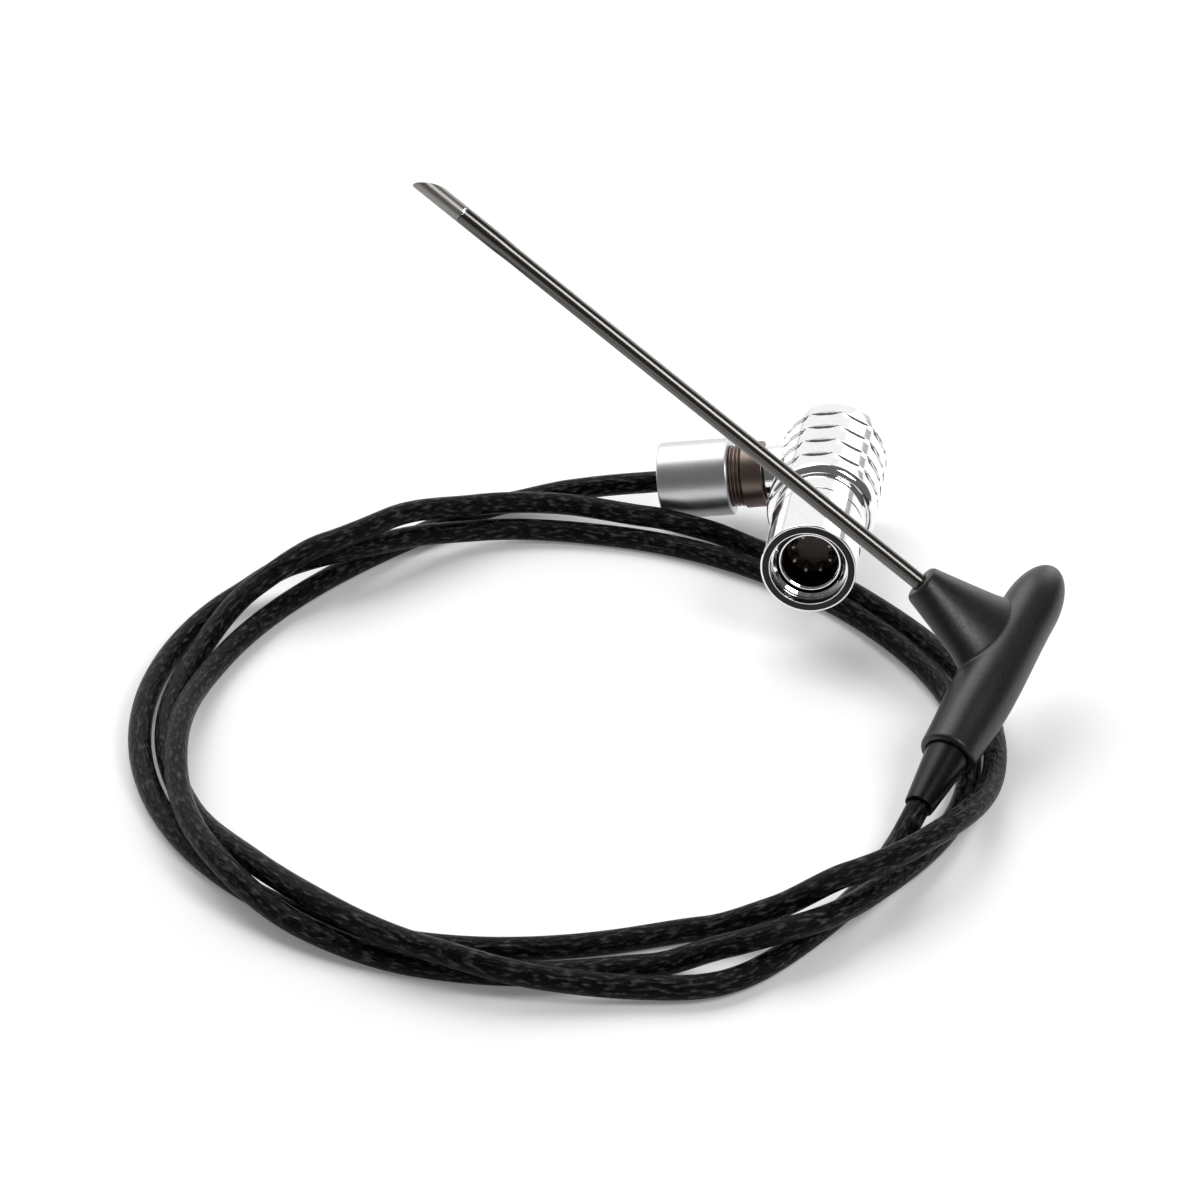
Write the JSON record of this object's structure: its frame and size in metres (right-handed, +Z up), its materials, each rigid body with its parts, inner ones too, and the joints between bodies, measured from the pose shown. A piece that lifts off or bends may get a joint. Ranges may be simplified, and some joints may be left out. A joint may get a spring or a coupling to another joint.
{
  "type": "core temperature probe",
  "caption": "Slim pointed stainless needle on a black T grip, with a looped black sensor cable that ends in a right-angled circular push-pull plug with contact pins.",
  "frame": {"origin": "centre of the bounding box of the probe itself: needle, grip and boot, without the cable and plug", "axes": "+X away from the needle's tip along the probe's longest extent, +Z up from the bench that the cable lies on"},
  "size_m": [0.2229, 0.2109, 0.1242],
  "materials": {
    "polished_steel": "polished",
    "satin_steel": "satin",
    "bright_chrome": "bright",
    "satin_nickel": "satin",
    "brass": "satin",
    "gold_plating": "plated",
    "grip_rubber": "matte",
    "boot_rubber": "semi-gloss",
    "cable_jacket": "satin",
    "insulator_resin": "satin",
    "potting_resin": "matte",
    "ceramic": "matte"
  },
  "bodies": {
    "probe": {"grip_body": "grip_rubber", "needle_tube": "polished_steel", "needle_tip": "polished_steel", "needle_anchor": "satin_steel", "sensor_wire": "brass", "bend_boot": "boot_rubber", "grip_cable_tail": "cable_jacket", "cable_crimp": "brass", "splice_potting": "potting_resin", "elbow_housing": "bright_chrome", "rear_cap": "bright_chrome", "latch_spring": "satin_steel", "outlet_collar": "satin_nickel", "clamp_nut": "satin_nickel", "cable_collet": "brass", "cable_grommet": "boot_rubber", "plug_cable_tail": "cable_jacket", "sensor_cable": "cable_jacket", "sensor_bead_1": "ceramic", "sensor_bead_2": "ceramic", "sensor_bead_3": "ceramic", "sensor_bead_4": "ceramic"},
    "plug_core": {"plug_nose": "bright_chrome", "coupling_ring": "bright_chrome", "guide_sleeve": "bright_chrome", "contact_insulator": "insulator_resin", "core_potting": "potting_resin", "contact_pin_1": "gold_plating", "contact_pin_2": "gold_plating", "contact_pin_3": "gold_plating", "contact_pin_4": "gold_plating", "contact_pin_5": "gold_plating", "contact_pin_6": "gold_plating", "contact_pin_7": "gold_plating", "contact_pin_8": "gold_plating"}
  },
  "joints": [
    {"name": "release_slide", "type": "slide", "parent": "probe", "child": "plug_core", "axis": [-0.1471, -0.984, 0.1011], "range_m": [0, 0.0015], "stiffness_N_per_m": 400, "springref_m": -0.004}
  ]
}
